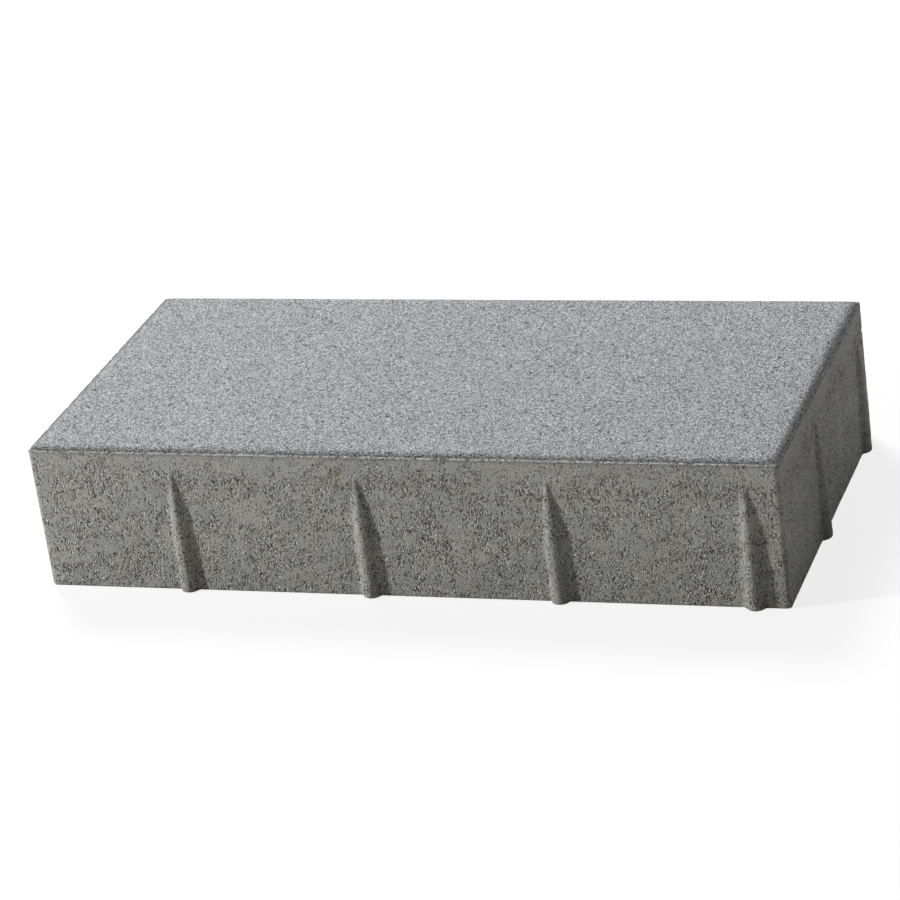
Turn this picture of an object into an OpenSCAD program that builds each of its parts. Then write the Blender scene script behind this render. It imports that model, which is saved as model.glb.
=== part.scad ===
// Rectangular concrete paving stone with a chamfered top and half-round spacer ribs.
// Millimetres, +Z up, origin at the middle of the underside.
// The stone is pressed in one piece. Its ribs keep the joint to the next stone open, and
// they sit off-centre on every side, so that the ribs of two neighbours pass each other.

/* [Paving grid] */
// Length of the grid cell that one stone and its joints fill
grid_length = 400; // [200:10:600]
// Width of the grid cell that one stone and its joints fill
grid_width = 200; // [100:10:400]
// Width of the joint between two stones, which is how far the ribs stand out
joint_width = 4; // [2:0.5:8]

/* [Stone] */
// Height from the bed to the top face
stone_height = 80; // [60:5:140]
// Radius of the four upright corners
corner_radius = 2; // [0.5:0.5:8]

/* [Top chamfer] */
// How far the chamfer reaches in from each side
chamfer_width = 5.2; // [1.2:0.2:8]
// How far the chamfer reaches down from the top face
chamfer_height = 2; // [0.6:0.2:5]
// Width of the ledge that the press leaves at the foot of the chamfer
ledge_width = 0.8; // [0.2:0.1:1]

/* [Spacer ribs] */
// Distance between the ribs along a side
rib_pitch = 100; // [40:5:150]
// Distance from the grid line at the right-hand end of a side to its first rib
rib_start = 20; // [15:1:40]
// How far the axis of a rib lies inside the face of its side
rib_sink = 1; // [0.5:0.5:2]
// How much the radius of a rib shrinks from the bed up to where its taper begins
rib_draft = 0.7; // [0.1:0.1:1]
// Distance from the top face down to where the taper ends, inside the stone
rib_top_depth = 7; // [6:1:20]
// Height of the part of a rib that tapers into the face
rib_taper = 36; // [10:1:38]

/* [Hidden] */
$fn = 64;

stone_length = grid_length - joint_width;
stone_width = grid_width - joint_width;
rib_foot_radius = joint_width + rib_sink;
rib_shoulder_radius = rib_foot_radius - rib_draft;
rib_top_radius = rib_sink / 2;
rib_shoulder = stone_height - rib_top_depth - rib_taper;

// Number of ribs on a side that fills a grid line of the given length
function rib_count(grid_side) = floor((grid_side - 2 * rib_start) / rib_pitch) + 1;

// Place of a rib along its side, from the middle of the side, seen from outside
function rib_place(grid_side, i) = grid_side / 2 - rib_start - i * rib_pitch;

// Plan of the stone: a rectangle with round corners
module stone_plan() {
    corner_x = stone_length / 2 - corner_radius;
    corner_y = stone_width / 2 - corner_radius;
    square([stone_length, 2 * corner_y], center = true);
    square([2 * corner_x, stone_width], center = true);
    for (x = [-corner_x, corner_x], y = [-corner_y, corner_y])
        translate([x, y]) circle(r = corner_radius);
}

// Upright section across a stone of the given width, with a ledge and a chamfer at both top edges
module chamfered_section(width) {
    half = width / 2;
    shoulder = stone_height - chamfer_height;
    polygon([
        [-half, 0],
        [half, 0],
        [half, shoulder],
        [half - ledge_width, shoulder],
        [half - chamfer_width, stone_height],
        [chamfer_width - half, stone_height],
        [ledge_width - half, shoulder],
        [-half, shoulder],
    ]);
}

// Bar of the chamfered section that runs along Y
module chamfered_bar(width, length) {
    rotate([90, 0, 0])
        linear_extrude(height = length, center = true)
            chamfered_section(width);
}

// Block without its ribs: the plan drawn up, with the chamfer cut along all four top edges
module block() {
    intersection() {
        linear_extrude(height = stone_height) stone_plan();
        chamfered_bar(stone_length, stone_width);
        rotate(90) chamfered_bar(stone_width, stone_length);
    }
}

// One round rib: a slight draft from the bed up to its shoulder, then the taper into the face
module spacer_rib() {
    cylinder(h = rib_shoulder, r1 = rib_foot_radius, r2 = rib_shoulder_radius);
    translate([0, 0, rib_shoulder])
        cylinder(h = rib_taper, r1 = rib_shoulder_radius, r2 = rib_top_radius);
}

// Row of ribs along a side that faces -Y, with that face at the given distance from the middle
module rib_row(grid_side, distance) {
    for (i = [0 : rib_count(grid_side) - 1])
        translate([rib_place(grid_side, i), rib_sink - distance, 0]) spacer_rib();
}

module paving_stone() {
    color([0.62, 0.63, 0.63]) {
        block();
        for (turn = [0, 180]) {
            rotate(turn) rib_row(grid_length, stone_width / 2);
            rotate(turn + 90) rib_row(grid_width, stone_length / 2);
        }
    }
}

paving_stone();
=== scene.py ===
"""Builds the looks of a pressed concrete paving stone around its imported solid, with a plain stage."""

import math

import bmesh
import bpy
from bpy.props import FloatProperty, FloatVectorProperty, PointerProperty
from mathutils import Matrix, Vector, noise


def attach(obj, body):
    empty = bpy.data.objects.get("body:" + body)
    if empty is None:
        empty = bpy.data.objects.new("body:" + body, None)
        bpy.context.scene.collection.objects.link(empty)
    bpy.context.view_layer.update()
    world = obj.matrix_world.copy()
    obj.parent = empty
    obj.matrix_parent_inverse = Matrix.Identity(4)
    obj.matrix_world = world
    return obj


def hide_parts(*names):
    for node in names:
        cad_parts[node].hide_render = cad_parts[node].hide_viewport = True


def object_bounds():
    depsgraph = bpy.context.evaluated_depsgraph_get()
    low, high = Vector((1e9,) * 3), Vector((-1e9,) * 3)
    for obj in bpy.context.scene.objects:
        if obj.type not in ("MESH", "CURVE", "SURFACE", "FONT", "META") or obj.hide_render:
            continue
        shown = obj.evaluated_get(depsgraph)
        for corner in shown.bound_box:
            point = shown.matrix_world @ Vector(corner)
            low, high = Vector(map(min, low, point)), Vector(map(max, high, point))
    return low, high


bl_info = {
    "name": "Concrete Paving Stone",
    "version": (1, 0, 0),
    "blender": (4, 5, 0),
    "location": "View3D > Sidebar > Paving",
    "description": "Builds a pressed concrete paving stone with spacer ribs, and a plain stage for it",
    "category": "Object",
}

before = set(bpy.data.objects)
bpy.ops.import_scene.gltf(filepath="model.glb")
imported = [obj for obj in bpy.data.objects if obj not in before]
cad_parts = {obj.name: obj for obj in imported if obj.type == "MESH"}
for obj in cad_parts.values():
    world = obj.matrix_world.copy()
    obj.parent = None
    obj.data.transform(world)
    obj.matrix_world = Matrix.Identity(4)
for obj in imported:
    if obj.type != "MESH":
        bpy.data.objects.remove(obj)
CAD_LOW, CAD_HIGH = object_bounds()

STONE_NODE = "paving_stone"
STONE_PIECE = "pressed_stone"
MM = 0.001

# The four sides as (direction along the side to the right, direction outwards), seen from outside
SIDES = (
    (Vector((1, 0, 0)), Vector((0, -1, 0))),
    (Vector((0, 1, 0)), Vector((1, 0, 0))),
    (Vector((-1, 0, 0)), Vector((0, 1, 0))),
    (Vector((0, -1, 0)), Vector((-1, 0, 0))),
)
# Numbers of a long and of a short side in that list
LONG_SIDE = 0
SHORT_SIDE = 1

# The rounded top edge from the top to its foot, as (share of its width left, share of its height gone down)
EDGE_ROUND = ((0.82, 0.06), (0.63, 0.18), (0.45, 0.33), (0.28, 0.52), (0.13, 0.74), (0.02, 0.96))
# The lip from the foot of the edge outwards, as (share of its width left, share of the burr's height)
LIP_ROUND = ((0.95, 0.0), (0.8, 0.15), (0.12, 0.15))
# Depths below the shoulder, in lip depths: where the lip ends, and where the rows of the side start
LIP_END = 1.1
SIDE_START = 1.6
# Share of the bed radius at which the middle row of the bed's edge lies
BED_ROUND = 0.3
# Width of the rim of faces round the bed, in mesh cells
BED_RIM = 3
# Vertices whose normals point further down than this belong to the bed
BED_NORMAL = -0.9
# Stretch before a corner over which the mesh columns are spread, and its end that goes round the corner
CORNER_RUN = 34 * MM
CORNER_END = 5 * MM
# Angle by which each of the two sides at a corner goes round it
CORNER_TURN = math.pi / 4

# Half of the stretch along a side that lends its columns to a rib
RIB_RUN = 14 * MM
# Half of the stretch over which the columns are drawn towards a rib, and how much closer they lie there
RIB_REACH = 17 * MM
RIB_PULL = 0.42
# Power of a rib's taper above its shoulder
RIB_TAPER = 1.5
# How far the tips of the ribs may differ in height
TIP_SCATTER = 4 * MM
# Unevenness of a rib: its share of the radius, the share that is worn off, and the length of its waves
RIB_UNEVEN = 0.05
RIB_WORN = 0.03
RIB_WAVE = 9 * MM
# Steps through the noise from rib to rib, for the tips and for the unevenness
TIP_STEP = 3.7
UNEVEN_STEP = 5.1
# Step in the numbers of the ribs from side to side
SIDE_STEP = 10
# The part of a side that can be raised: its depth in bed radii, and its share of the height
WALL_DEPTH = 1.1
WALL_TOP = 0.95
# Spare share of a pitch, with which a rib that lies exactly at the end is counted
COUNT_SLACK = 1e-6

# Size of the broad unevenness in millimetres, and its octaves as (fall, step, number)
WAVE_SIZE = 35
WAVE_OCTAVES = (1.0, 2.0, 3)
# Noise patterns of the relief as (size in millimetres, shift through the noise)
TOP_GRAIN = (1.7, (0, 0, 0))
TOP_PORES = (2.3, (31, 7, 3))
LIP_CHIPS = (3, (0, 0, 0))
SIDE_GRAIN = (1.9, (5, 11, 17))
SIDE_PORES = (2.1, (3, 41, 9))
STAIN_SPOTS = (16, (13, 29, 5))
BAND_WAVES = (12, (0, 0, 0))
SEAM_WAVES = (22, (0, 0, 0))
# Ranges of noise over which pores, chips and stains set in
TOP_PORE_RANGE = (0.6, 0.8)
CHIP_RANGE = (0.15, 0.4)
SIDE_PORE_RANGE = (0.4, 0.65)
STAIN_RANGE = (-0.15, 0.35)
# Depth of the top's pores as a share of the depth of the sides' pores
TOP_PORE_SHARE = 0.6
# Depth of the chips in the lip
CHIP_DEPTH = 0.5 * MM
# Depth below the shoulder over which the painted shade under the lip fades
UNDER_LIP_SHADE_FADE = 3 * MM
# Openness of a side: its patches as (weight, size in millimetres), what is added to them, and its limit
OPEN_PATCHES = ((0.4, 5), (0.25, 12), (0.2, 35))
OPEN_START = 0.1
OPEN_LIMIT = 1.2
# Openness over which the grain of a side sets in, the contrast of that grain, and how openness helps pores
GRAIN_RANGE = (-0.6, 0.6)
GRAIN_CONTRAST = 0.9
PORE_HELP = 0.15
# The closed band under the ledge: the sway and half the fade of its lower edge, and how it closes the skin
BAND_SWAY = 8 * MM
BAND_FADE = 5 * MM
BAND_SKIN = 0.35
# The seam of the two mixes: its drop below the band, its sway, where it fades, and how it opens the skin
SEAM_DROP = 6 * MM
SEAM_SWAY = 9 * MM
SEAM_FADE = (1 * MM, 9 * MM)
SEAM_OPEN = 0.25
# How much more closed the skin of a rib is than that of its side, and the share of its height where it closes
RIB_SKIN = 0.18
RIB_RANGE = (0.0, 0.5)

# Marks on the vertices that the concrete reads, and marks that only the modelling needs
CONCRETE_MARKS = ("face_mix", "edge_tint_and_shade", "open_mix", "pore", "lip", "stain")
MODELLING_MARKS = ("column_x", "column_y", "rib")

# Noise patterns of the concrete as (size, detail, roughness)
CLOUDS = (26 * MM, 3.0, 0.55)
TINTS = (15 * MM, 3.0, 0.55)
STAINS = (14 * MM, 3.0, 0.55)
PATCHES = (4.5 * MM, 2.0, 0.6)
HOLES = (2.4 * MM, 2.0, 0.6)
FINE_GRAIN = (0.9 * MM, 1.0, 0.6)
PITS = (0.9 * MM, 1.0, 0.5)
# Sizes of the grains of grit and sand, and of the lumps that give the open skin its relief
GRIT_SIZE = 0.6 * MM
SAND_SIZE = 0.55 * MM
LUMP_SIZE = 1.05 * MM
# Factors along the axes that draw out the pits upright and the stains lengthwise
PIT_STRETCH = (1.0, 1.0, 0.7)
STAIN_STRETCH = (1.0, 1.0, 2.5)
# Ranges over which cool tints, stains, the open skin, holes and the painted highlight on the lip set in
TINT_RANGE = (0.4, 0.6)
STAIN_EDGE = (0.5, 0.64)
SKIN_EDGE = (0.0, 0.03)
HOLE_EDGE = (0.37, 0.31)
HIGHLIGHT_EDGE = (0.4, 0.55)
# Levels of the smooth skin: (low, high) of the openness or patch, and the levels there
OPEN_LEVELS = (-0.8, 0.9, 0.38, 0.62)
PATCH_LEVELS = (0.3, 0.7, -0.08, 0.08)
# Tones: (low, high) of a pattern or mark, and the factors on the colour there
PASTE_TONES = (0.3, 0.7, 0.94, 1.06)
GRIT_TONES = (0.0, 1.0, 0.54, 1.68)
# Painted shade in the gaps between the grits, with painted light on their middles
GRIT_GAP_SHADE = (0.35, 0.8, 1.4, 0.38)
# Painted shade on the side just under the lip
UNDER_LIP_SHADE = (0.0, 1.0, 1.0, 0.72)
SAND_TONES = (0.0, 1.0, 0.54, 1.64)
# Painted shade in the gaps between the sand grains, with painted light on their middles
SAND_GAP_SHADE = (0.35, 0.85, 1.34, 0.1)
SAND_CLOUDS = (0.3, 0.7, 0.98, 1.02)
# Painted shade on the rounded top edge, darkest towards its foot
TOP_EDGE_SHADE = (0.1, 1.0, 1.0, 0.43)
# Painted shade in pits, pores and holes: (low, high) of a pattern or mark, and the shares of the dark pore
# colour there
PIT_SHADE = (0.13, 0.28, 0.0, 0.8)
SAND_PORE_SHADE = (0.36, 0.29, 0.0, 0.95)
PORE_SHADE = (0.3, 0.9, 0.0, 0.6)
# Shares of the cool mix and the stain in the grit, of the painted shade in a hole, and of the painted
# highlight on the lip
COOL_GRIT = 0.7
STAINED_GRIT = 0.25
HOLE_SHADE = 0.9
HIGHLIGHT_SHARE = 0.75
# Relief finer than the mesh: heights of lumps, pits and sand, and the depth that a height of 1 means
LUMP_HEIGHT = -1.2
PIT_HEIGHT = 2.0
SAND_HEIGHT = -0.5
BUMP_DEPTH = 1.1 * MM
# Dry surface: (low, high) of the fine grain with the roughness there, and the strength of its gloss
DRY_ROUGHNESS = (0.3, 0.7, 0.82, 0.98)
DRY_GLOSS = 0.3

# Half of the floor's width in metres
FLOOR_HALF = 20
WHITE = (1, 1, 1, 1)
# Colour of the paper in the picture, on top of its glow, and in the light that it throws back
PAPER_SHOWN = (0.22, 0.22, 0.22, 1)
PAPER_THROWN = (0.612, 0.606, 0.595, 1)
# Glow of the paper: (near, far) in metres from the stone, and its strength there
PAPER_GLOW = (0.5, 1.8, 0.8, 1.0)


class StoneSizes(bpy.types.PropertyGroup):
    """Sizes of the stone that its solid has as well, and the size of its mesh cells"""

    joint: FloatProperty(
        name="Joint", description="How far the ribs stand out of the sides",
        default=4 * MM, unit="LENGTH",
    )
    corner_radius: FloatProperty(
        name="Corner radius", description="Radius of the upright corners",
        default=2 * MM, unit="LENGTH",
    )
    edge_width: FloatProperty(
        name="Edge width", description="How far the top edge reaches in",
        default=5.2 * MM, unit="LENGTH",
    )
    edge_height: FloatProperty(
        name="Edge height", description="How far the top edge reaches down",
        default=2.0 * MM, unit="LENGTH",
    )
    ledge_width: FloatProperty(
        name="Ledge width", description="Width of the ledge below the top edge",
        default=0.8 * MM, unit="LENGTH",
    )
    lip_depth: FloatProperty(
        name="Lip depth", description="How far the lip reaches down the side",
        default=0.3 * MM, unit="LENGTH",
    )
    lip_height: FloatProperty(
        name="Lip height", description="How far the burr of the ledge stands up",
        default=0.4 * MM, unit="LENGTH",
    )
    bed_radius: FloatProperty(
        name="Bed radius", description="Radius of the edge at the bed",
        default=0.9 * MM, unit="LENGTH",
    )
    rib_pitch: FloatProperty(
        name="Rib pitch", description="Distance between the ribs of a side",
        default=100 * MM, unit="LENGTH",
    )
    rib_start: FloatProperty(
        name="Rib start", description="From the joint's middle to the first rib",
        default=20 * MM, unit="LENGTH",
    )
    rib_sink: FloatProperty(
        name="Rib sink", description="How far a rib's axis lies inside its side",
        default=1 * MM, unit="LENGTH",
    )
    rib_draft: FloatProperty(
        name="Rib draft", description="How much a rib narrows up to its shoulder",
        default=0.7 * MM, unit="LENGTH",
    )
    rib_shoulder: FloatProperty(
        name="Rib shoulder", description="Height at which a rib starts to taper",
        default=37 * MM, unit="LENGTH",
    )
    rib_tip: FloatProperty(
        name="Rib tip", description="Height at which a rib runs out in the side",
        default=68.5 * MM, unit="LENGTH",
    )
    cell: FloatProperty(
        name="Mesh cell", description="Size of the cells of the mesh",
        default=1.4 * MM, unit="LENGTH",
    )


class StoneRelief(bpy.types.PropertyGroup):
    """Depths of the relief, all of which goes inwards, and the height of the closed band"""

    waviness: FloatProperty(
        name="Waviness", description="Depth of the broad unevenness",
        default=0.15 * MM, unit="LENGTH",
    )
    top_grain: FloatProperty(
        name="Top grain", description="Depth of the sandy grain of the top",
        default=0.06 * MM, unit="LENGTH",
    )
    side_grain: FloatProperty(
        name="Side grain", description="Depth of the grain where a side is open",
        default=0.25 * MM, unit="LENGTH",
    )
    pore_depth: FloatProperty(
        name="Pore depth", description="Depth of the open pores",
        default=0.5 * MM, unit="LENGTH",
    )
    skin_height: FloatProperty(
        name="Skin height", description="Height of the closed band under the ledge",
        default=9 * MM, unit="LENGTH",
    )


class ConcreteColours(bpy.types.PropertyGroup):
    """Colours of the concrete, as scene-linear values"""

    face: FloatVectorProperty(
        name="Face mix", description="Fine mix of the top face",
        default=(0.384, 0.391, 0.402), subtype="COLOR", min=0, max=1,
    )
    core: FloatVectorProperty(
        name="Core mix", description="Coarse mix of the sides",
        default=(0.378, 0.372, 0.336), subtype="COLOR", min=0, max=1,
    )
    cool: FloatVectorProperty(
        name="Cool core mix", description="Cooler patches of the sides",
        default=(0.35, 0.352, 0.344), subtype="COLOR", min=0, max=1,
    )
    # Dark colour that puts painted shade at the bottom of the pores, pits and holes
    pore: FloatVectorProperty(
        name="Pore", description="Bottom of the pores",
        default=(0.075, 0.068, 0.058), subtype="COLOR", min=0, max=1,
    )
    stain: FloatVectorProperty(
        name="Stain", description="Brown stains in the core mix",
        default=(0.26, 0.19, 0.115), subtype="COLOR", min=0, max=1,
    )
    # Painted highlight along the lip of the long sides, where the ledge catches the light
    lip_highlight: FloatVectorProperty(
        name="Pale grain", description="Pale grains along the lip",
        default=(0.72, 0.72, 0.71), subtype="COLOR", min=0, max=1,
    )


class StageSettings(bpy.types.PropertyGroup):
    """Camera and light"""

    azimuth: FloatProperty(
        name="Azimuth", description="Where the camera stands, from the front to the right",
        default=math.radians(20.89), subtype="ANGLE",
    )
    elevation: FloatProperty(
        name="Elevation", description="How high the camera stands",
        default=math.radians(24.77), subtype="ANGLE",
    )
    roll: FloatProperty(
        name="Roll", description="Turn of the camera about its axis",
        default=math.radians(-8), subtype="ANGLE",
    )
    distance: FloatProperty(
        name="Distance", description="From the camera to the point it looks at",
        default=1.8934, unit="LENGTH",
    )
    target: FloatVectorProperty(
        name="Target", description="Point that the camera looks at",
        default=(-0.00463, 0, 0.03496), subtype="TRANSLATION",
    )
    lens: FloatProperty(name="Lens", description="Focal length in millimetres", default=144.3)
    key_place: FloatVectorProperty(
        name="Key place", description="Where the hard light that grazes the front stands",
        default=(-1.93, -0.879, 0.914), subtype="TRANSLATION",
    )
    key_size: FloatProperty(
        name="Key size", description="Width of the hard light",
        default=0.1, unit="LENGTH",
    )
    key_power: FloatProperty(
        name="Key power", description="Power of the hard light",
        default=48, unit="POWER",
    )
    soft_place: FloatVectorProperty(
        name="Soft place", description="Where the soft light for the top stands",
        default=(-0.95, 1.40, 2.02), subtype="TRANSLATION",
    )
    soft_size: FloatProperty(
        name="Soft size", description="Width of the soft light",
        default=1.0, unit="LENGTH",
    )
    soft_power: FloatProperty(
        name="Soft power", description="Power of the soft light",
        default=64, unit="POWER",
    )
    rim_place: FloatVectorProperty(
        name="Rim place", description="Where the weak light behind the right side stands",
        default=(0.42, 0.55, 0.42), subtype="TRANSLATION",
    )
    rim_size: FloatProperty(
        name="Rim size", description="Width of the weak light",
        default=0.25, unit="LENGTH",
    )
    rim_power: FloatProperty(
        name="Rim power", description="Power of the weak light",
        default=0.6, unit="POWER",
    )
    sky: FloatProperty(name="Sky", description="Strength of the even light from all round", default=0.09)


def clamp(value, low=0.0, high=1.0):
    """Value kept between low and high."""
    return max(low, min(high, value))


def smooth_step(low, high, value):
    """0 below low, 1 above high, and a smooth rise between them."""
    share = clamp((value - low) / (high - low))
    return share * share * (3 - 2 * share)


def speckle(p, pattern):
    """Noise of a pattern from about -1 to 1, at a place in millimetres."""
    size, shift = pattern
    return noise.noise(p / size + Vector(shift))


def to_share(value, contrast=0.5):
    """Noise from -1 to 1 as a share from 0 to 1."""
    return 0.5 + contrast * value


def stone_half(sizes):
    """Half of the block's length and width without its ribs, and its height."""
    return (
        (CAD_HIGH.x - CAD_LOW.x) / 2 - sizes.joint,
        (CAD_HIGH.y - CAD_LOW.y) / 2 - sizes.joint,
        CAD_HIGH.z,
    )


def rim_profile(sizes, height):
    """Rows of the mesh from the rim of the top down to the bed, as (distance inside the side, height)."""
    shoulder = height - sizes.edge_height
    run = sizes.edge_width - sizes.ledge_width
    rows = []
    for left, down in EDGE_ROUND:
        rows.append((sizes.ledge_width + run * left, height - sizes.edge_height * down))
    for left, above in LIP_ROUND:
        rows.append((sizes.ledge_width * left, shoulder + sizes.lip_height * above))
    rows.append((0.0, shoulder - sizes.lip_depth))
    top_row = shoulder - sizes.lip_depth * SIDE_START
    count = round((top_row - sizes.bed_radius) / sizes.cell)
    for step in range(count + 1):
        rows.append((0.0, top_row + (sizes.bed_radius - top_row) * step / count))
    rows.append((sizes.bed_radius * BED_ROUND, sizes.bed_radius * BED_ROUND))
    rows.append((sizes.bed_radius, 0.0))
    return rows


def column_place(along, along_max, half_along, half_across, inset, radius):
    """Where a mesh column of the top lies round the rim: (along the side, out from the middle)."""
    start = along_max - CORNER_RUN
    if abs(along) <= start:
        return along, half_across - inset
    side = math.copysign(1.0, along)
    round_radius = max(radius - inset, 0.0)
    straight = half_along - inset - round_radius
    turn_start = along_max - CORNER_END * round_radius / radius
    if abs(along) <= turn_start:
        share = (abs(along) - start) / (turn_start - start)
        return side * (start + (straight - start) * share), half_across - inset
    turn = (abs(along) - turn_start) / (along_max - turn_start) * CORNER_TURN
    out = half_across - inset - round_radius * (1 - math.cos(turn))
    return side * (straight + round_radius * math.sin(turn)), out


def draw_towards(along, places):
    """Place of a mesh column after it is drawn towards a rib on its side or on the opposite one."""
    for place in (*places, *(-place for place in places)):
        share = (along - place) / RIB_REACH
        if abs(share) < 1:
            return place + RIB_REACH * share * (1 - RIB_PULL + RIB_PULL * share * share)
    return along


def press_block(bm, sizes):
    """Block with its top edge, ledge and round corners: a grid for the top, drawn down row by row."""
    half_x, half_y, height = stone_half(sizes)
    top_x = half_x - sizes.edge_width
    top_y = half_y - sizes.edge_width
    bmesh.ops.create_grid(
        bm,
        x_segments=round(2 * top_x / sizes.cell),
        y_segments=round(2 * top_y / sizes.cell),
        size=1,
        matrix=Matrix.Translation((0, 0, height)) @ Matrix.Diagonal((top_x, top_y, 1, 1)),
    )
    column_x = bm.verts.layers.float.new("column_x")
    column_y = bm.verts.layers.float.new("column_y")
    rib_x = rib_places(sizes, LONG_SIDE)
    rib_y = rib_places(sizes, SHORT_SIDE)
    for vert in bm.verts:
        vert.co.x = draw_towards(vert.co.x, rib_x)
        vert.co.y = draw_towards(vert.co.y, rib_y)
        vert[column_x] = vert.co.x
        vert[column_y] = vert.co.y
    rim = [edge for edge in bm.edges if edge.is_boundary]
    for inset, z in rim_profile(sizes, height):
        made = bmesh.ops.extrude_edge_only(bm, edges=rim)["geom"]
        rim = [item for item in made if isinstance(item, bmesh.types.BMEdge) and item.is_boundary]
        for vert in {vert for edge in rim for vert in edge.verts}:
            x, y = vert[column_x], vert[column_y]
            if top_y - abs(y) < top_x - abs(x):
                x, out = column_place(x, top_x, half_x, half_y, inset, sizes.corner_radius)
                y = math.copysign(out, y)
            else:
                y, out = column_place(y, top_y, half_y, half_x, inset, sizes.corner_radius)
                x = math.copysign(out, x)
            vert.co = (x, y, z)
    bed = bmesh.ops.edgeloop_fill(bm, edges=rim)["faces"]
    bmesh.ops.inset_region(bm, faces=bed, thickness=BED_RIM * sizes.cell, use_even_offset=True)
    bmesh.ops.recalc_face_normals(bm, faces=bm.faces)


def rib_places(sizes, side):
    """Places of the ribs along a side, from its middle."""
    along, _ = SIDES[side]
    half_x, half_y, _ = stone_half(sizes)
    grid_half = abs(along.x) * half_x + abs(along.y) * half_y + sizes.joint / 2
    first = grid_half - sizes.rib_start
    count = math.floor(2 * first / sizes.rib_pitch + COUNT_SLACK) + 1
    return [first - i * sizes.rib_pitch for i in range(count)]


def rib_radius(sizes, z, seed):
    """Radius of a rib at a height: a slight draft up to the shoulder, then a blunt taper, a little uneven."""
    foot = sizes.joint + sizes.rib_sink
    shoulder = foot - sizes.rib_draft
    tip = sizes.rib_tip + TIP_SCATTER * noise.noise((seed * TIP_STEP, 0, 0))
    if z <= sizes.rib_shoulder:
        radius = foot + (shoulder - foot) * z / sizes.rib_shoulder
    else:
        share = (z - sizes.rib_shoulder) / (tip - sizes.rib_shoulder)
        radius = shoulder - (shoulder - sizes.rib_sink) * share ** RIB_TAPER
    uneven = RIB_UNEVEN * noise.noise((seed * UNEVEN_STEP, 0, z / RIB_WAVE)) - RIB_WORN
    return radius * (1 + min(0.0, uneven))


def raise_ribs(bm, sizes):
    """Raises the ribs out of the sides: the columns near a rib close up and follow its round."""
    half_x, half_y, height = stone_half(sizes)
    rib_mark = bm.verts.layers.float.new("rib")
    for side, (along, outward) in enumerate(SIDES):
        distance = abs(outward.x) * half_x + abs(outward.y) * half_y
        wall = distance - sizes.bed_radius * WALL_DEPTH
        places = rib_places(sizes, side)
        for vert in bm.verts:
            if vert.co.dot(outward) <= wall or vert.co.z >= height * WALL_TOP:
                continue
            s = vert.co.dot(along)
            for index, place in enumerate(places):
                if abs(s - place) < RIB_RUN:
                    seed = SIDE_STEP * side + index + 1
                    vert[rib_mark] = raise_on_rib(vert, s, place, along, outward, sizes, seed) / sizes.joint


def raise_on_rib(vert, s, place, along, outward, sizes, seed):
    """Moves one vertex of a side that lies near a rib, and gives how far it was raised."""
    radius = rib_radius(sizes, vert.co.z, seed)
    if radius <= sizes.rib_sink:
        return 0.0
    half_turn = math.acos(sizes.rib_sink / radius)
    arc = radius * half_turn
    chord = radius * math.sin(half_turn)
    away = s - place
    if abs(away) <= arc:
        turn = away / arc * half_turn
        moved = place + radius * math.sin(turn)
        raised = radius * math.cos(turn) - sizes.rib_sink
    else:
        share = (abs(away) - arc) / (RIB_RUN - arc)
        moved = place + math.copysign(chord + share * (RIB_RUN - chord), away)
        raised = 0.0
    vert.co += along * (moved - s) + outward * raised
    return raised


def mix_seam(p, z, band_foot):
    """1 where the face mix meets the core mix, a little below the closed band, and 0 away from it."""
    middle = band_foot - SEAM_DROP + SEAM_SWAY * speckle(p, SEAM_WAVES)
    return 1 - smooth_step(*SEAM_FADE, abs(z - middle))


def side_openness(p, z, seam, band_foot):
    """How open the skin of a side is, from about -1, closed paste, to 1, full of pores."""
    broad = sum(weight * noise.noise(p / size) for weight, size in OPEN_PATCHES)
    band_edge = band_foot + BAND_SWAY * speckle(p, BAND_WAVES)
    band = smooth_step(band_edge - BAND_FADE, band_edge + BAND_FADE, z)
    return clamp(broad + OPEN_START - BAND_SKIN * band + SEAM_OPEN * seam, -OPEN_LIMIT, OPEN_LIMIT)


def top_relief(p, down, sizes, relief):
    """Depth of the relief on the top and its edge, and the marks there."""
    pore = smooth_step(*TOP_PORE_RANGE, speckle(p, TOP_PORES))
    depth = relief.top_grain * to_share(speckle(p, TOP_GRAIN)) + relief.pore_depth * TOP_PORE_SHARE * pore
    # Mark of the rounded edge, for its painted shade, which grows towards the foot
    edge = math.sqrt(max(0.0, down) / sizes.edge_height)
    return depth, {"face_mix": 1.0, "edge_tint_and_shade": edge, "open_mix": 1.0, "pore": pore}


def lip_relief(p, on_long_side, relief):
    """Depth of the relief on the lip, and the marks there: a painted highlight on a long side, painted shade
    on a short one.
    """
    chip = CHIP_DEPTH * smooth_step(*CHIP_RANGE, speckle(p, LIP_CHIPS))
    depth = relief.top_grain * to_share(speckle(p, TOP_GRAIN)) + chip
    if on_long_side:
        # Long side: the side colour with the painted highlight on the lip
        return depth, {"open_mix": 1.0, "lip": 1.0}
    # Short side: the top's sand colour with the painted shade of the edge
    return depth, {"open_mix": 1.0, "face_mix": 1.0, "edge_tint_and_shade": 1.0}


def side_relief(p, z, shoulder, raised, relief):
    """Depth of the relief on a side or a rib, and the marks there."""
    band_foot = shoulder - relief.skin_height
    seam = mix_seam(p, z, band_foot)
    opened = side_openness(p, z, seam, band_foot) - RIB_SKIN * smooth_step(*RIB_RANGE, raised)
    share = smooth_step(*GRAIN_RANGE, opened)
    grain = clamp(to_share(speckle(p, SIDE_GRAIN), GRAIN_CONTRAST))
    pore = smooth_step(*SIDE_PORE_RANGE, speckle(p, SIDE_PORES) + PORE_HELP * opened) * share
    return share * relief.side_grain * grain + relief.pore_depth * pore, {
        # Painted shade under the lip, fading down the side; the same mark cools the paste there
        "edge_tint_and_shade": 1 - smooth_step(0.0, UNDER_LIP_SHADE_FADE, shoulder - z),
        "open_mix": opened,
        "pore": pore,
        "stain": seam * smooth_step(*STAIN_RANGE, speckle(p, STAIN_SPOTS)),
    }


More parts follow.
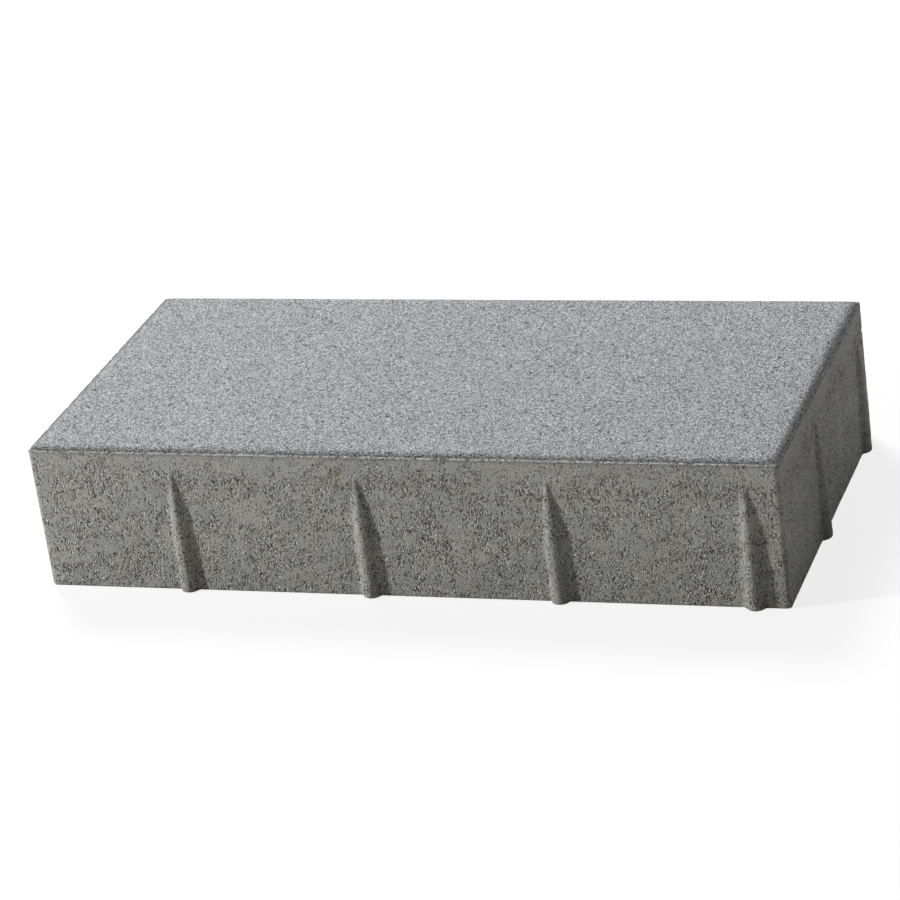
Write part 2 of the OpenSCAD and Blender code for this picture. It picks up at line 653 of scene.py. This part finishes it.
def roughen(bm, sizes, relief):
    """Sinks the relief into the surface and marks on each vertex what the concrete is like there."""
    half_x, half_y, height = stone_half(sizes)
    shoulder = height - sizes.edge_height
    layers = {name: bm.verts.layers.float.new(name) for name in CONCRETE_MARKS}
    rib_mark = bm.verts.layers.float["rib"]
    bm.normal_update()
    for vert in bm.verts:
        p = vert.co / MM
        z = vert.co.z
        wave = relief.waviness * clamp(to_share(noise.fractal(p / WAVE_SIZE, *WAVE_OCTAVES)))
        if z > shoulder + sizes.lip_height:
            depth, marks = top_relief(p, height - z, sizes, relief)
        elif z > shoulder - sizes.lip_depth * LIP_END:
            on_long_side = half_y - abs(vert.co.y) < half_x - abs(vert.co.x)
            depth, marks = lip_relief(p, on_long_side, relief)
        elif vert.normal.z < BED_NORMAL:
            depth, marks = -wave, {"open_mix": 1.0}
        else:
            depth, marks = side_relief(p, z, shoulder, vert[rib_mark], relief)
        for name, value in marks.items():
            vert[layers[name]] = value
        vert.co -= vert.normal * (wave + depth)
        vert.co.z = max(0.0, vert.co.z)
    for name in MODELLING_MARKS:
        bm.verts.layers.float.remove(bm.verts.layers.float[name])


class Tree:
    """Short ways to add and link the nodes of one material or world."""

    # Sockets of a Mix node for colours: its share, first and second colour, and its result
    MIX_INPUTS = (0, 6, 7)
    MIX_RESULT = 2

    def __init__(self, owner):
        owner.use_nodes = True
        self.nodes = owner.node_tree.nodes
        self.links = owner.node_tree.links
        self.nodes.clear()

    def add(self, kind, inputs=None, **settings):
        """Adds a node, sets its settings, and links or sets its inputs by name or number."""
        node = self.nodes.new(kind)
        for name, value in settings.items():
            setattr(node, name, value)
        for name, value in (inputs or {}).items():
            if isinstance(value, bpy.types.NodeSocket):
                self.links.new(value, node.inputs[name])
            else:
                node.inputs[name].default_value = value
        return node

    def math(self, operation, first, second):
        """Result of an operation on two values."""
        return self.add("ShaderNodeMath", {0: first, 1: second}, operation=operation).outputs[0]

    def rise(self, value, low, high, start=0.0, end=1.0):
        """Smooth change from start to end as the value goes from low to high."""
        return self.add(
            "ShaderNodeMapRange",
            {"Value": value, "From Min": low, "From Max": high, "To Min": start, "To Max": end},
            interpolation_type="SMOOTHSTEP",
        ).outputs["Result"]

    def mix(self, share, first, second, blend="MIX"):
        """Mix of two colours."""
        node = self.add("ShaderNodeMix", data_type="RGBA", blend_type=blend)
        for number, value in zip(self.MIX_INPUTS, (share, first, second)):
            socket = node.inputs[number]
            if isinstance(value, bpy.types.NodeSocket):
                self.links.new(value, socket)
            elif isinstance(value, float):
                socket.default_value = value
            else:
                socket.default_value = (*value, 1.0)
        return node.outputs[self.MIX_RESULT]

    def shade(self, colour, factor):
        """Colour that a factor makes darker or lighter."""
        return self.mix(1.0, colour, factor, "MULTIPLY")

    def stretch(self, place, factors):
        """Place multiplied by a factor along each axis: below 1 draws a pattern out along it."""
        return self.add("ShaderNodeVectorMath", {0: place, 1: factors}, operation="MULTIPLY").outputs[0]

    def noise(self, place, size, detail, roughness):
        """Noise whose features are about the given size in metres."""
        return self.add(
            "ShaderNodeTexNoise",
            {"Vector": place, "Scale": 1 / size, "Detail": detail, "Roughness": roughness},
        ).outputs["Fac"]

    def cells(self, place, size):
        """Voronoi cells of the given size: (distance from the middle, random value of the cell)."""
        node = self.add("ShaderNodeTexVoronoi", {"Vector": place, "Scale": 1 / size})
        value = self.add("ShaderNodeSeparateColor", {0: node.outputs["Color"]}).outputs[0]
        return node.outputs["Distance"], value

    def attribute(self, name):
        """Value of a mark on the vertices."""
        return self.add("ShaderNodeAttribute", attribute_name=name).outputs["Fac"]


def paste_colour(tree, colours, place, clouds, fine, edge):
    """Smooth paste of the sides: the warm core mix with cooler patches, and cool along the top edge."""
    tint = tree.rise(tree.noise(place, *TINTS), *TINT_RANGE)
    paste = tree.mix(tree.math("MAXIMUM", tint, edge), colours.core, colours.cool)
    paste = tree.shade(paste, tree.rise(clouds, *PASTE_TONES))
    return tree.shade(paste, tree.rise(fine, *PASTE_TONES))


def side_mix(tree, colours, place, drawn, clouds, fine, rough, edge):
    """Colour and height of the sides: a rough field of grit and pits, clipped by the smooth skin, with
    painted shade in the pits, between the grits and under the lip.
    """
    patch = tree.rise(tree.noise(place, *PATCHES), *PATCH_LEVELS)
    level = tree.math("ADD", tree.rise(tree.attribute("open_mix"), *OPEN_LEVELS), patch)
    below = tree.math("MAXIMUM", tree.math("SUBTRACT", level, rough), 0.0)
    open_grain = tree.rise(below, *SKIN_EDGE)
    stain = tree.rise(tree.noise(tree.stretch(place, STAIN_STRETCH), *STAINS), *STAIN_EDGE)
    stain = tree.math("MAXIMUM", stain, tree.attribute("stain"))
    paste = paste_colour(tree, colours, place, clouds, fine, edge)
    grit_far, grit_value = tree.cells(drawn, GRIT_SIZE)
    grit = tree.mix(COOL_GRIT, paste, colours.cool)
    grit = tree.shade(grit, tree.rise(grit_value, *GRIT_TONES))
    # Painted shade in the gaps between the grits, painted light on their middles
    grit = tree.shade(grit, tree.rise(grit_far, *GRIT_GAP_SHADE))
    grit = tree.mix(tree.math("MULTIPLY", stain, STAINED_GRIT), grit, colours.stain)
    # Painted shade in the pits, mixed with the brown of the stains
    pit_shade_and_stain = tree.mix(stain, colours.pore, colours.stain)
    side = tree.mix(open_grain, paste, grit)
    side = tree.mix(tree.rise(below, *PIT_SHADE), side, pit_shade_and_stain)
    # Painted shade under the lip
    side = tree.shade(side, tree.rise(edge, *UNDER_LIP_SHADE))
    lump_far, _ = tree.cells(drawn, LUMP_SIZE)
    dome = tree.math("MULTIPLY", lump_far, tree.math("MULTIPLY", open_grain, LUMP_HEIGHT))
    return side, tree.math("SUBTRACT", dome, tree.math("MULTIPLY", below, PIT_HEIGHT))


def top_mix(tree, colours, place, clouds, rough, edge):
    """Colour and height of the top: grains of sand, each with a grey of its own, with painted shade in the
    gaps, pores and holes and on the rounded edge.
    """
    sand_far, sand_value = tree.cells(place, SAND_SIZE)
    hole = tree.rise(tree.noise(place, *HOLES), *HOLE_EDGE)
    sand = tree.shade(colours.face, tree.rise(sand_value, *SAND_TONES))
    # Painted shade in the gaps between the sand grains, painted light on their middles
    sand = tree.shade(sand, tree.rise(sand_far, *SAND_GAP_SHADE))
    sand = tree.shade(sand, tree.rise(clouds, *SAND_CLOUDS))
    # Painted shade in the small pores and the holes of the sand
    sand = tree.mix(tree.rise(rough, *SAND_PORE_SHADE), sand, colours.pore)
    sand = tree.mix(tree.math("MULTIPLY", hole, HOLE_SHADE), sand, colours.pore)
    # Painted shade on the rounded top edge and on the lip of the short sides
    sand = tree.shade(sand, tree.rise(edge, *TOP_EDGE_SHADE))
    return sand, tree.math("SUBTRACT", tree.math("MULTIPLY", sand_far, SAND_HEIGHT), hole)


def concrete_material(colours):
    """Concrete: a sandy mix on top, and sides of smooth paste that is pitted with pores."""
    material = bpy.data.materials.new("pressed_concrete")
    tree = Tree(material)
    place = tree.add("ShaderNodeTexCoord").outputs["Object"]
    drawn = tree.stretch(place, PIT_STRETCH)
    face = tree.attribute("face_mix")
    edge = tree.attribute("edge_tint_and_shade")
    clouds = tree.noise(place, *CLOUDS)
    fine = tree.noise(place, *FINE_GRAIN)
    rough = tree.noise(drawn, *PITS)
    side, side_height = side_mix(tree, colours, place, drawn, clouds, fine, rough, edge)
    sand, sand_height = top_mix(tree, colours, place, clouds, rough, edge)
    base = tree.mix(face, side, sand)
    # Painted shade in the pores of the mesh
    base = tree.mix(tree.rise(tree.attribute("pore"), *PORE_SHADE), base, colours.pore)
    # Painted highlight along the lip of the long sides, broken up by the fine grain
    highlight_mask = tree.math("MULTIPLY", tree.attribute("lip"), tree.rise(fine, *HIGHLIGHT_EDGE))
    base = tree.mix(tree.math("MULTIPLY", highlight_mask, HIGHLIGHT_SHARE), base, colours.lip_highlight)
    height = tree.add("ShaderNodeMix", {0: face, 2: side_height, 3: sand_height}).outputs[0]
    bump = tree.add("ShaderNodeBump", {"Strength": 1.0, "Distance": BUMP_DEPTH, "Height": height})
    shader = tree.add(
        "ShaderNodeBsdfPrincipled",
        {
            "Base Color": base,
            "Roughness": tree.rise(fine, *DRY_ROUGHNESS),
            "Specular IOR Level": DRY_GLOSS,
            "Normal": bump.outputs[0],
        },
    )
    tree.add("ShaderNodeOutputMaterial", {"Surface": shader.outputs[0]})
    return material


class PAVING_OT_stone(bpy.types.Operator):
    """Build the pressed stone with its ribs, relief and concrete"""

    bl_idname = "paving.stone"
    bl_label = "Build Stone"

    def execute(self, context):
        scene = context.scene
        bm = bmesh.new()
        press_block(bm, scene.stone_sizes)
        raise_ribs(bm, scene.stone_sizes)
        roughen(bm, scene.stone_sizes, scene.stone_relief)
        for face in bm.faces:
            face.smooth = True
        mesh = bpy.data.meshes.new(STONE_PIECE)
        bm.to_mesh(mesh)
        bm.free()
        stone = bpy.data.objects.new(STONE_PIECE, mesh)
        scene.collection.objects.link(stone)
        mesh.materials.append(concrete_material(scene.concrete_colours))
        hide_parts(STONE_NODE)
        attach(stone, "root")
        return {"FINISHED"}


def seen_directly(tree):
    """1 for rays that show a surface in the picture, straight or in a gloss or glass, and 0 for its light."""
    path = tree.add("ShaderNodeLightPath").outputs
    seen = tree.math("MAXIMUM", path["Is Camera Ray"], path["Is Glossy Ray"])
    return tree.math("MAXIMUM", seen, path["Is Transmission Ray"])


def paper_material():
    """White paper under the stone: white with a light shadow, and with more glow where the lamps fall off."""
    material = bpy.data.materials.new("white_paper")
    tree = Tree(material)
    place = tree.add("ShaderNodeTexCoord").outputs["Object"]
    away = tree.add("ShaderNodeVectorMath", {0: place}, operation="LENGTH").outputs["Value"]
    glow = tree.add("ShaderNodeEmission", {"Color": WHITE, "Strength": tree.rise(away, *PAPER_GLOW)})
    paper = tree.add("ShaderNodeBsdfDiffuse", {"Color": PAPER_SHOWN})
    shown = tree.add("ShaderNodeAddShader", {0: glow.outputs[0], 1: paper.outputs[0]})
    thrown = tree.add("ShaderNodeBsdfDiffuse", {"Color": PAPER_THROWN})
    seen = seen_directly(tree)
    surface = tree.add("ShaderNodeMixShader", {0: seen, 1: thrown.outputs[0], 2: shown.outputs[0]})
    tree.add("ShaderNodeOutputMaterial", {"Surface": surface.outputs[0]})
    return material


def light_world(scene, sky):
    """Even light from all round, in front of a picture background that is white."""
    world = bpy.data.worlds.new("studio")
    scene.world = world
    tree = Tree(world)
    even = tree.add("ShaderNodeBackground", {"Color": WHITE, "Strength": sky})
    white = tree.add("ShaderNodeBackground", {"Color": WHITE, "Strength": 1.0})
    seen = seen_directly(tree)
    surface = tree.add("ShaderNodeMixShader", {0: seen, 1: even.outputs[0], 2: white.outputs[0]})
    tree.add("ShaderNodeOutputWorld", {"Surface": surface.outputs[0]})


def hang_lamp(scene, name, place, size, power):
    """Square lamp that faces the middle of the stone."""
    data = bpy.data.lights.new(name, "AREA")
    data.energy = power
    data.size = size
    lamp = bpy.data.objects.new(name, data)
    lamp.location = place
    middle = (CAD_LOW + CAD_HIGH) / 2
    lamp.rotation_euler = (middle - Vector(place)).to_track_quat("-Z", "Y").to_euler()
    scene.collection.objects.link(lamp)


def place_camera(scene, stage):
    """Camera at the photograph's angle, rolled a little so that the front lies level."""
    a, e, r = stage.azimuth, stage.elevation, stage.roll
    back = Vector((math.sin(a) * math.cos(e), -math.cos(a) * math.cos(e), math.sin(e)))
    level = Vector((math.cos(a), math.sin(a), 0))
    upright = back.cross(level)
    right = level * math.cos(r) + upright * math.sin(r)
    up = upright * math.cos(r) - level * math.sin(r)
    data = bpy.data.cameras.new("camera")
    data.lens = stage.lens
    camera = bpy.data.objects.new("camera", data)
    scene.collection.objects.link(camera)
    turn = Matrix((right, up, back)).transposed().to_4x4()
    camera.matrix_world = Matrix.Translation(Vector(stage.target) + back * stage.distance) @ turn
    scene.camera = camera


class PAVING_OT_stage(bpy.types.Operator):
    """Set the floor, the light and the camera round the stone"""

    bl_idname = "paving.stage"
    bl_label = "Set Stage"

    def execute(self, context):
        scene = context.scene
        stage = scene.stage_settings
        scene.view_settings.view_transform = "Standard"
        bm = bmesh.new()
        bmesh.ops.create_grid(bm, x_segments=1, y_segments=1, size=FLOOR_HALF)
        mesh = bpy.data.meshes.new("floor")
        bm.to_mesh(mesh)
        bm.free()
        mesh.materials.append(paper_material())
        floor = bpy.data.objects.new("floor", mesh)
        scene.collection.objects.link(floor)
        hang_lamp(scene, "key", stage.key_place, stage.key_size, stage.key_power)
        hang_lamp(scene, "soft", stage.soft_place, stage.soft_size, stage.soft_power)
        hang_lamp(scene, "rim", stage.rim_place, stage.rim_size, stage.rim_power)
        light_world(scene, stage.sky)
        place_camera(scene, stage)
        return {"FINISHED"}


class PAVING_PT_sidebar(bpy.types.Panel):
    """Lists the sizes, colours and steps of the stone"""

    bl_label = "Paving Stone"
    bl_idname = "PAVING_PT_sidebar"
    bl_space_type = "VIEW_3D"
    bl_region_type = "UI"
    bl_category = "Paving"

    def draw(self, context):
        scene = context.scene
        for group in (scene.stone_sizes, scene.stone_relief, scene.concrete_colours, scene.stage_settings):
            box = self.layout.box()
            for name in group.__annotations__:
                box.prop(group, name)
        self.layout.operator(PAVING_OT_stone.bl_idname)
        self.layout.operator(PAVING_OT_stage.bl_idname)


CLASSES = (
    StoneSizes,
    StoneRelief,
    ConcreteColours,
    StageSettings,
    PAVING_OT_stone,
    PAVING_OT_stage,
    PAVING_PT_sidebar,
)


def register():
    for item in CLASSES:
        bpy.utils.register_class(item)
    bpy.types.Scene.stone_sizes = PointerProperty(type=StoneSizes)
    bpy.types.Scene.stone_relief = PointerProperty(type=StoneRelief)
    bpy.types.Scene.concrete_colours = PointerProperty(type=ConcreteColours)
    bpy.types.Scene.stage_settings = PointerProperty(type=StageSettings)


def unregister():
    del bpy.types.Scene.stage_settings
    del bpy.types.Scene.concrete_colours
    del bpy.types.Scene.stone_relief
    del bpy.types.Scene.stone_sizes
    for item in reversed(CLASSES):
        bpy.utils.unregister_class(item)


def main():
    register()
    bpy.ops.paving.stage()
    bpy.ops.paving.stone()


if __name__ == "__main__":
    main()
